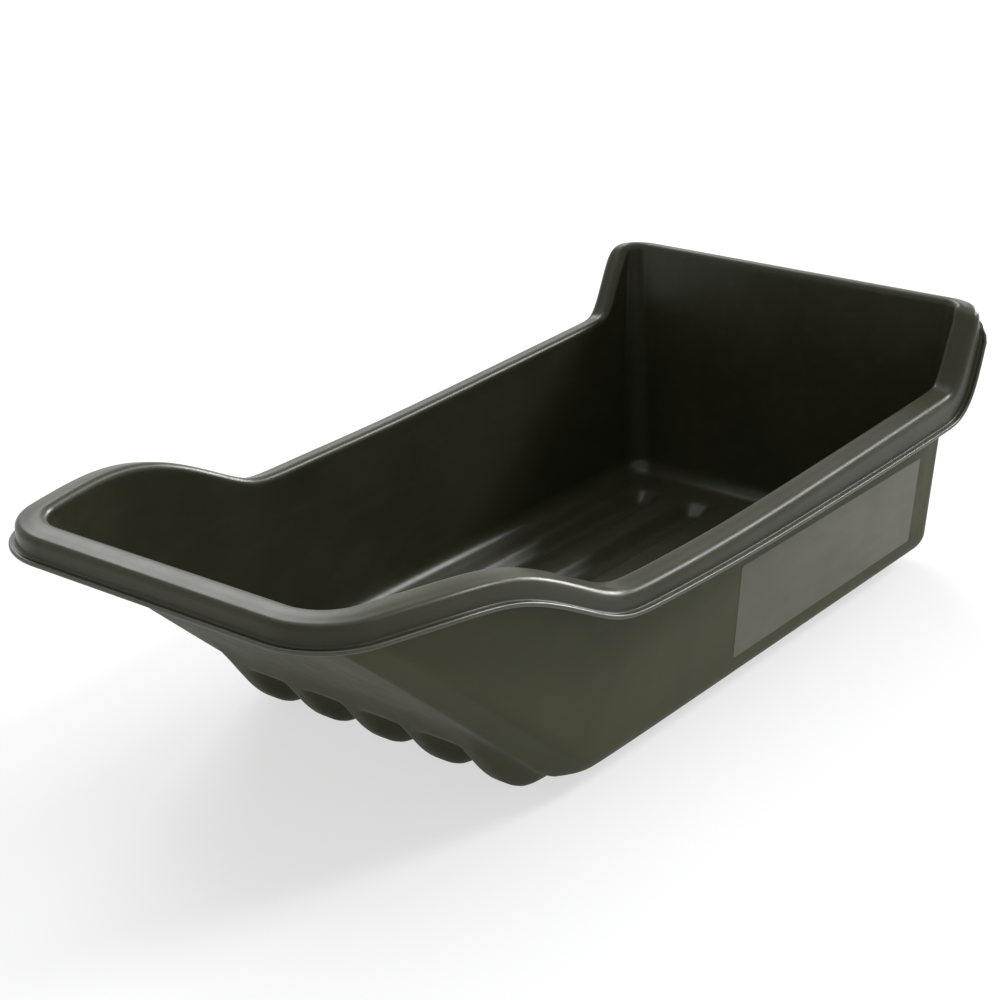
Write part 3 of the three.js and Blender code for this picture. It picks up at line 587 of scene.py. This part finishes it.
def make_hull():
    """Both faces of the shell, joined round the lip's trimmed edge."""
    points, faces, ring = inside_face()
    outside = points - WALL * point_normals(points, faces)
    count = len(points)
    edge = points[ring[-1]]
    through = outside[ring[-1]] - edge
    out = edge - points[ring[-2]]
    out /= np.linalg.norm(out, axis=1, keepdims=True)
    r = LIP_EDGE_RADIUS
    turns = np.radians(np.linspace(0, 90, ARC_STEPS))
    section = [(r * (1 - math.cos(t)) / WALL, r * math.sin(t)) for t in turns[1:]]
    section = section + [(1 - depth, reach) for depth, reach in section[::-1]]
    loops = [edge + through * depth + out * reach for depth, reach in section]
    columns = len(edge)
    rings = [ring[-1]]
    rings += [2 * count + k * columns + np.arange(columns) for k in range(len(loops))]
    rings += [ring[-1] + count]
    shell = list(faces) + [tuple(count + i for i in face[::-1]) for face in faces]
    moulded = len(shell)
    for low, high in zip(rings, rings[1:]):
        for i in range(columns):
            n = (i + 1) % columns
            shell.append((low[i], high[i], high[n], low[n]))
    hull = mesh_object("hull_shell", np.concatenate([points, outside, *loops]), shell)
    finish = [0] * len(faces) + [1] * (moulded - len(faces)) + [2] * (len(shell) - moulded)
    looks = [
        # The upper face takes the darker copy of the colour as painted shade, and the under face
        # the lighter copy.
        polyethylene("moulded_upper_face", SHADED_UPPER_OLIVES, UPPER_SPECULAR, UPPER_ROUGHNESS),
        polyethylene("moulded_under_face", UNDER_OLIVES, UNDER_SPECULAR, UNDER_ROUGHNESS),
        trimmed_edge(),
    ]
    for look in looks:
        hull.data.materials.append(look)
    hull.data.polygons.foreach_set("material_index", finish)
    return hull


def side_place(x, z, standoff):
    """Places on the outside of the tub's side wall, pushed out by a standoff."""
    low_y, low_z = tub_half_width(x), panel_height(x) + CORNER_STRIP
    high_y = rim_half_width(x) - RIM_BAND
    high_z = rim_height(x) + RIM_CROWN - RIM_INNER_RADIUS - RIM_INNER_DROP / 2
    slope = np.arctan2(high_y - low_y, high_z - low_z)
    y = mix(low_y, high_y, (z - low_z) / (high_z - low_z)) + (WALL + standoff) / np.cos(slope)
    return np.stack([x, y, z], axis=-1)


def side_film(side):
    """A thin film with round corners that lies on the side wall."""
    turns = np.linspace(0, math.pi / 2, 2 * ARC_STEPS)
    along = FILM_CORNER * (1 - np.cos(turns))
    inset = FILM_CORNER * (1 - np.sin(turns))
    middle = np.linspace(FILM_CORNER, FILM_LENGTH - FILM_CORNER, FILM_STEPS)[1:-1]
    along = np.concatenate([along, middle, FILM_LENGTH - along[::-1]])
    inset = np.concatenate([inset, 0 * middle, inset[::-1]])
    bottom = FLOOR_HEIGHT + CORNER_STRIP + FILM_ABOVE_CORNER + inset
    top = WAIST_RIM_HEIGHT - FILM_BELOW_RIM - inset
    shares = np.linspace(0, 1, FILM_RISE_STEPS)
    z = mix(bottom[:, None], top[:, None], shares)
    x = np.repeat((STERN + FILM_BACK_AHEAD + along)[:, None], len(shares), axis=1)
    layers = [side_place(x, z, FILM_STANDOFF + depth) for depth in (0, FILM_THICKNESS)]
    points = np.concatenate([layer.reshape(-1, 3) for layer in layers]) * (1, side, 1)
    columns, high = x.shape
    number = np.arange(2 * columns * high).reshape(2, columns, high)
    faces = []
    for layer in number:
        faces += zip(layer[:-1, :-1].flat, layer[1:, :-1].flat, layer[1:, 1:].flat,
                     layer[:-1, 1:].flat)
    edge = np.concatenate([number[:, :, 0], number[:, -1, 1:], number[:, -2::-1, -1],
                           number[:, 0, -2::-1]], axis=1)
    faces += zip(edge[0, :-1], edge[0, 1:], edge[1, 1:], edge[1, :-1])
    return points, faces


def flat_solid(name, outlines, low, high, bevel):
    """A flat piece between two heights, from closed outlines in its plane, with eased edges."""
    curve = bpy.data.curves.new(name, "CURVE")
    curve.dimensions = "2D"
    curve.fill_mode = "BOTH"
    for outline in outlines:
        spline = curve.splines.new("POLY")
        spline.points.add(len(outline) - 1)
        spline.points.foreach_set("co", [v for x, y in outline for v in (x, y, 0, 1)])
        spline.use_cyclic_u = True
    curve.extrude = (high - low) / 2 - bevel
    curve.bevel_depth = bevel
    curve.bevel_resolution = 2
    curve.offset = -bevel
    source = bpy.data.objects.new(name, curve)
    bpy.context.scene.collection.objects.link(source)
    mesh = bpy.data.meshes.new_from_object(source)
    bpy.data.objects.remove(source)
    points = np.empty(3 * len(mesh.vertices))
    mesh.vertices.foreach_get("co", points)
    points = points.reshape(-1, 3) + (0, 0, (low + high) / 2)
    return points, [tuple(polygon.vertices) for polygon in mesh.polygons]


def circle(radius, steps=ROUND_STEPS):
    turns = 2 * math.pi * np.arange(steps) / steps
    return [(radius * math.cos(t), radius * math.sin(t)) for t in turns]


def plate_outline():
    """Outline of a tow plate, with round corners."""
    centre = (TOW_PLATE_WIDTH / 2 - TOW_PLATE_CORNER, TOW_PLATE_LENGTH / 2 - TOW_PLATE_CORNER)
    outline = []
    for k, (sx, sy) in enumerate([(1, 1), (-1, 1), (-1, -1), (1, -1)]):
        middle = (sx * centre[0], sy * centre[1])
        outline += arc_points(middle, TOW_PLATE_CORNER, 90 * k, 90 * k + 90, 2 * ARC_STEPS)
    return outline


def bolt_holes():
    """Outlines of the two bolt holes in a plate."""
    radius = BOLT_DIAMETER / 2 + GAP
    return [[(x, y + way * BOLT_SPACING / 2) for x, y in circle(radius)] for way in (-1, 1)]


def turned(profile, steps=ROUND_STEPS):
    """A turned solid round the Z axis, from (radius, height) points that start and end on it."""
    ring = circle(1, steps)
    points = [(0, 0, profile[0][1])]
    for radius, height in profile[1:-1]:
        points += [(radius * x, radius * y, height) for x, y in ring]
    points.append((0, 0, profile[-1][1]))
    last = len(points) - 1
    faces = [(0, 1 + (i + 1) % steps, 1 + i) for i in range(steps)]
    for k in range(len(profile) - 3):
        low, high = 1 + k * steps, 1 + (k + 1) * steps
        faces += [(low + i, low + (i + 1) % steps, high + (i + 1) % steps, high + i)
                  for i in range(steps)]
    top = last - steps
    faces += [(last, top + i, top + (i + 1) % steps) for i in range(steps)]
    return np.array(points), faces


def joined(*parts):
    """Several (points, faces) parts as one."""
    points = np.concatenate([part[0] for part in parts])
    faces = []
    start = 0
    for part_points, part_faces in parts:
        faces += [tuple(start + int(i) for i in face) for face in part_faces]
        start += len(part_points)
    return points, faces


PLATE_OUTSIDE = GAP + TOW_PLATE_THICKNESS
RING_RADIUS = RING_WIRE / 2
PIVOT_OUT = PLATE_OUTSIDE + RING_PLAY + RING_RADIUS
NUT_FROM = WALL + GAP + TOW_PLATE_THICKNESS + GAP


def tow_plate():
    """A flat base with a round strap over the ring's straight bar."""
    base = flat_solid("base", [plate_outline(), *bolt_holes()], -PLATE_OUTSIDE, -GAP, PLATE_BEVEL)
    inner = RING_RADIUS + RING_PLAY
    outer = inner + TOW_PLATE_THICKNESS
    root = -GAP - TOW_PLATE_THICKNESS / 2
    pivot = (0, -PIVOT_OUT)
    outline = [(outer, root), *arc_points(pivot, outer, 0, -180, STRAP_STEPS), (-outer, root),
               (-inner, root), *arc_points(pivot, inner, -180, 0, STRAP_STEPS), (inner, root)]
    half = TOW_STRAP_WIDTH / 2
    points, faces = flat_solid("strap", [outline], -half, half, PLATE_BEVEL)
    points = points[:, [0, 2, 1]] * (1, -1, 1)
    return joined(base, (points, faces))


def backing_plate():
    """A flat plate against the inside face, with the tow plate's outline and holes."""
    low = WALL + GAP
    outlines = [plate_outline(), *bolt_holes()]
    return flat_solid("backing", outlines, low, low + TOW_PLATE_THICKNESS, PLATE_BEVEL)


def bolt():
    """A round head outside the hull, a shank through it and a thread that ends past the nut."""
    under = -PLATE_OUTSIDE - GAP
    head, shank = BOLT_HEAD_DIAMETER / 2, BOLT_DIAMETER / 2
    dome = BOLT_HEAD_HEIGHT - BOLT_HEAD_EDGE
    profile = [(0, under - BOLT_HEAD_HEIGHT)]
    profile += [(head * math.sin(t), under - BOLT_HEAD_EDGE - dome * math.cos(t))
                for t in np.radians(np.linspace(HEAD_START_ANGLE, 90, HEAD_STEPS))]
    profile += [(head, under), (shank, under)]
    end = NUT_FROM + NUT_HEIGHT + BOLT_END
    for height in np.arange(WALL, end - THREAD_PITCH, THREAD_PITCH):
        profile += [(shank, height), (shank - THREAD_DEPTH, height + THREAD_PITCH / 2)]
    profile += [(shank - THREAD_DEPTH, end), (0, end)]
    return turned(profile)


def nut():
    """A lock nut: six flats with eased corners and a round collar."""
    radius = NUT_FLATS / 2 / math.cos(math.pi / NUT_SIDES)
    bore = circle(BOLT_DIAMETER / 2 + GAP)
    split = NUT_FROM + NUT_HEIGHT - NUT_COLLAR
    flats = flat_solid("flats", [circle(radius, NUT_SIDES), bore], NUT_FROM, split, NUT_BEVEL)
    outlines = [circle(NUT_FLATS / 2 - NUT_BEVEL / 2), bore]
    collar = flat_solid("collar", outlines, split, NUT_FROM + NUT_HEIGHT, NUT_BEVEL / 2)
    return joined(flats, collar)


def ring_path():
    """The D of the tow ring, as (y, z) points with its straight bar on the Y axis."""
    half = (RING_INNER_WIDTH + RING_WIRE) / 2
    r = RING_CORNER
    flank = RING_DEPTH - half
    path = [(y, 0) for y in np.linspace(-half + r, half - r, RING_STEPS)]
    path += arc_points((half - r, -r), r, 90, 0, RING_STEPS)[1:]
    path += arc_points((0, -flank), half, 0, -180, RING_BOW_STEPS)
    path += arc_points((-half + r, -r), r, 180, 90, RING_STEPS)[:-1]
    return path


def tow_ring(sides=WIRE_SIDES):
    """The ring's round wire swept along its path."""
    path = np.array(ring_path())
    along = np.roll(path, -1, axis=0) - np.roll(path, 1, axis=0)
    along /= np.linalg.norm(along, axis=1, keepdims=True)
    out = np.column_stack([along[:, 1], -along[:, 0]])
    points = []
    for place, way in zip(path, out):
        for t in 2 * math.pi * np.arange(sides) / sides:
            y, z = place + RING_RADIUS * math.cos(t) * way
            points.append((RING_RADIUS * math.sin(t), y, z))
    faces = []
    for k in range(len(path)):
        a, b = k * sides, (k + 1) % len(path) * sides
        faces += [(a + i, a + (i + 1) % sides, b + (i + 1) % sides, b + i) for i in range(sides)]
    return np.array(points), faces


def tow_points(side):
    """The pieces of one tow point by name, each with its points in the sled's frame and faces."""
    turn = np.array(Matrix.Rotation(-RAMP_ANGLE, 3, "Y"))
    x = BOW - TOW_BEHIND_BOW
    foot = np.array((x, side * (BOW_HALF_WIDTH - TOW_INSET),
                     float(panel_height(x)) - WALL / math.cos(RAMP_ANGLE)))
    pieces = {"tow_plate": tow_plate(), "backing_plate": backing_plate()}
    for place, way in (("inboard", -1), ("outboard", 1)):
        shift = (0, way * side * BOLT_SPACING / 2, 0)
        for kind, (points, faces) in (("tow_bolt", bolt()), ("tow_nut", nut())):
            pieces[kind, place] = (points + shift, faces)
    placed = {kind: (points @ turn.T + foot, faces) for kind, (points, faces) in pieces.items()}
    points, faces = tow_ring()
    placed["tow_ring"] = (points + foot + turn @ (0, 0, -PIVOT_OUT), faces)
    return placed


def add_camera():
    """The camera at the photograph's place, angle and focal length."""
    data = bpy.data.cameras.new("camera")
    data.sensor_width = SENSOR
    data.lens = FOCAL_PIXELS * SENSOR / IMAGE_SIZE
    data.clip_end = CAMERA_REACH
    obj = bpy.data.objects.new("camera", data)
    azimuth, elevation = math.radians(CAMERA_AZIMUTH), math.radians(CAMERA_ELEVATION)
    forward = Vector((
        -math.cos(azimuth) * math.cos(elevation),
        -math.sin(azimuth) * math.cos(elevation),
        -math.sin(elevation),
    ))
    obj.location = Vector(CAMERA_PLACE) * MM
    obj.rotation_euler = forward.to_track_quat("-Z", "Y").to_euler()
    bpy.context.scene.collection.objects.link(obj)
    bpy.context.scene.camera = obj


def material(name):
    """A new material with its nodes, links and shader."""
    mat = bpy.data.materials.new(name)
    mat.use_nodes = True
    nodes, links = mat.node_tree.nodes, mat.node_tree.links
    return mat, nodes, links, nodes["Principled BSDF"]


def noise(nodes, links, scale, detail=3, roughness=0.5, stretch=(1, 1, 1)):
    """A noise texture in metres of the part's own frame, stretched along its axes."""
    place = nodes.new("ShaderNodeTexCoord")
    mapping = nodes.new("ShaderNodeMapping")
    mapping.inputs["Scale"].default_value = stretch
    links.new(place.outputs["Object"], mapping.inputs["Vector"])
    texture = nodes.new("ShaderNodeTexNoise")
    texture.inputs["Scale"].default_value = scale
    texture.inputs["Detail"].default_value = detail
    texture.inputs["Roughness"].default_value = roughness
    links.new(mapping.outputs["Vector"], texture.inputs["Vector"])
    return texture.outputs["Fac"]


def spread(nodes, links, value, low, high, from_low=0.3, from_high=0.7):
    """Maps a texture's value to a range."""
    node = nodes.new("ShaderNodeMapRange")
    node.inputs["From Min"].default_value = from_low
    node.inputs["From Max"].default_value = from_high
    node.inputs["To Min"].default_value = low
    node.inputs["To Max"].default_value = high
    links.new(value, node.inputs["Value"])
    return node.outputs["Result"]


def bump(nodes, links, height, distance, strength, after=None):
    """The normal of a bumpy surface, on top of another normal where one is given."""
    node = nodes.new("ShaderNodeBump")
    node.inputs["Distance"].default_value = distance
    node.inputs["Strength"].default_value = strength
    links.new(height, node.inputs["Height"])
    if after is not None:
        links.new(after, node.inputs["Normal"])
    return node.outputs["Normal"]


def two_colours(nodes, links, value, first, second):
    """Mixes two colours by a value. Each is three numbers or another node's output."""
    node = nodes.new("ShaderNodeMix")
    node.data_type = "RGBA"
    sockets = [socket for socket in node.inputs if socket.type == "RGBA"]
    for socket, colour in zip(sockets, (first, second)):
        if isinstance(colour, tuple):
            socket.default_value = (*colour, 1)
        else:
            links.new(colour, socket)
    links.new(value, node.inputs["Factor"])
    return next(socket for socket in node.outputs if socket.type == "RGBA")


def soft_waves(nodes, links):
    """The slight unevenness of a moulded wall, as a normal."""
    waves = noise(nodes, links, scale=9, detail=2)
    return bump(nodes, links, waves, distance=0.003, strength=0.3)


def polyethylene(name, olives, specular, roughness):
    """Dark olive moulded plastic: satin, with a fine grain, soft waves and faint pale scratches."""
    mat, nodes, links, shader = material(name)
    clouds = spread(nodes, links, noise(nodes, links, scale=6, detail=4), 0, 1)
    colour = two_colours(nodes, links, clouds, *olives)
    scratches = noise(nodes, links, scale=40, detail=4, roughness=0.6, stretch=(0.25, 1, 1))
    scratched = spread(nodes, links, scratches, 0, 0.12, from_low=0.5, from_high=0.75)
    colour = two_colours(nodes, links, scratched, colour, SCRATCH_COLOUR)
    links.new(colour, shader.inputs["Base Color"])
    shader.inputs["Specular IOR Level"].default_value = specular
    sheen = noise(nodes, links, scale=24, detail=5, roughness=0.6)
    links.new(spread(nodes, links, sheen, *roughness), shader.inputs["Roughness"])
    grain = noise(nodes, links, scale=1100, detail=2)
    normal = soft_waves(nodes, links)
    normal = bump(nodes, links, grain, distance=0.00008, strength=0.5, after=normal)
    links.new(normal, shader.inputs["Normal"])
    return mat


def trimmed_edge():
    """The lip's cut edge: a little duller than the moulded faces, with fine trimming marks."""
    mat, nodes, links, shader = material("trimmed_polyethylene")
    marks = noise(nodes, links, scale=180)
    colour = two_colours(nodes, links, spread(nodes, links, marks, 0, 1), *EDGE_OLIVES)
    links.new(colour, shader.inputs["Base Color"])
    links.new(spread(nodes, links, marks, *EDGE_ROUGHNESS), shader.inputs["Roughness"])
    normal = bump(nodes, links, marks, distance=0.0002, strength=0.5)
    links.new(normal, shader.inputs["Normal"])
    return mat


def film_plastic():
    """The blank film: smoother than the wall it lies on, with faint streaks."""
    mat, nodes, links, shader = material("smooth_film")
    clouds = spread(nodes, links, noise(nodes, links, scale=8), 0, 1)
    colour = two_colours(nodes, links, clouds, *FILM_OLIVES)
    links.new(colour, shader.inputs["Base Color"])
    shader.inputs["Specular IOR Level"].default_value = FILM_SPECULAR
    streaks = noise(nodes, links, scale=14, detail=4, stretch=(1, 1, 3))
    links.new(spread(nodes, links, streaks, *FILM_ROUGHNESS), shader.inputs["Roughness"])
    links.new(soft_waves(nodes, links), shader.inputs["Normal"])
    return mat


def zinc_plate():
    """Zinc plating on steel: a mottled crystal bloom with fine brushing."""
    mat, nodes, links, shader = material("zinc_plated_steel")
    clouds = spread(nodes, links, noise(nodes, links, scale=180, detail=4), 0, 1)
    colour = two_colours(nodes, links, clouds, *ZINC_GREYS)
    links.new(colour, shader.inputs["Base Color"])
    shader.inputs["Metallic"].default_value = 1
    brushing = noise(nodes, links, scale=500, stretch=(1, 0.15, 1))
    links.new(spread(nodes, links, brushing, *ZINC_ROUGHNESS), shader.inputs["Roughness"])
    normal = bump(nodes, links, brushing, distance=0.00004, strength=0.6)
    links.new(normal, shader.inputs["Normal"])
    return mat


def seen_share(nodes, links, low, high):
    """One value for what the camera, reflections and glass see, and another for other rays."""
    path = nodes.new("ShaderNodeLightPath")
    seen = path.outputs["Is Camera Ray"]
    for kind in ("Is Glossy Ray", "Is Transmission Ray"):
        most = nodes.new("ShaderNodeMath")
        most.operation = "MAXIMUM"
        links.new(seen, most.inputs[0])
        links.new(path.outputs[kind], most.inputs[1])
        seen = most.outputs["Value"]
    return spread(nodes, links, seen, low, high, 0, 1)


def floor_material():
    """Pale floor, seen nearly white where the sled's shadow doesn't fall."""
    mat, nodes, links, shader = material("pale_floor")
    shader.inputs["Base Color"].default_value = (*FLOOR_COLOUR, 1)
    shader.inputs["Roughness"].default_value = 1
    shader.inputs["Specular IOR Level"].default_value = 0
    glow = nodes.new("ShaderNodeEmission")
    both = nodes.new("ShaderNodeMixShader")
    links.new(seen_share(nodes, links, 0, FLOOR_GLOW), both.inputs["Fac"])
    links.new(shader.outputs["BSDF"], both.inputs[1])
    links.new(glow.outputs["Emission"], both.inputs[2])
    links.new(both.outputs["Shader"], nodes["Material Output"].inputs["Surface"])
    return mat


def add_floor():
    bpy.ops.mesh.primitive_plane_add(size=FLOOR_SIDE)
    floor = bpy.context.object
    floor.name = "floor"
    floor.data.materials.append(floor_material())


def add_lamp(name, direction, power, angle):
    """A soft lamp so far off that it lights the whole floor evenly."""
    data = bpy.data.lights.new(name, "SUN")
    data.energy = power
    data.angle = math.radians(angle)
    obj = bpy.data.objects.new(name, data)
    obj.rotation_euler = Vector(direction).to_track_quat("Z", "Y").to_euler()
    bpy.context.scene.collection.objects.link(obj)


def add_world():
    """A dim room, whose white backdrop the camera and reflections see."""
    world = bpy.data.worlds.new("studio")
    bpy.context.scene.world = world
    world.use_nodes = True
    nodes, links = world.node_tree.nodes, world.node_tree.links
    background = nodes["Background"]
    background.inputs["Color"].default_value = (1, 1, 1, 1)
    links.new(seen_share(nodes, links, ROOM_LIGHT, 1), background.inputs["Strength"])


add_camera()
bpy.context.scene.view_settings.view_transform = "Standard"
add_floor()
add_world()
for name, (direction, power, angle) in LAMPS.items():
    add_lamp(name, direction, power, angle)

hull = make_hull()
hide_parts("hull")
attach(hull, "sled")

film = film_plastic()
zinc = zinc_plate()
for name, side in (("port", 1), ("starboard", -1)):
    skin = mesh_object(f"film_skin_{name}", *side_film(side), sharp_angle=SHARP_ANGLE)
    skin.data.materials.append(film)
    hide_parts(f"side_film_{name}")
    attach(skin, "sled")
    for kind, (points, faces) in tow_points(side).items():
        if isinstance(kind, tuple):
            node = f"{kind[0]}_{name}_{kind[1]}"
        else:
            node = f"{kind}_{name}"
        piece = mesh_object(f"{node}_steel", points, faces, sharp_angle=SHARP_ANGLE)
        piece.data.materials.append(zinc)
        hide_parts(node)
        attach(piece, node if kind == "tow_ring" else "sled")

bpy.context.view_layer.update()
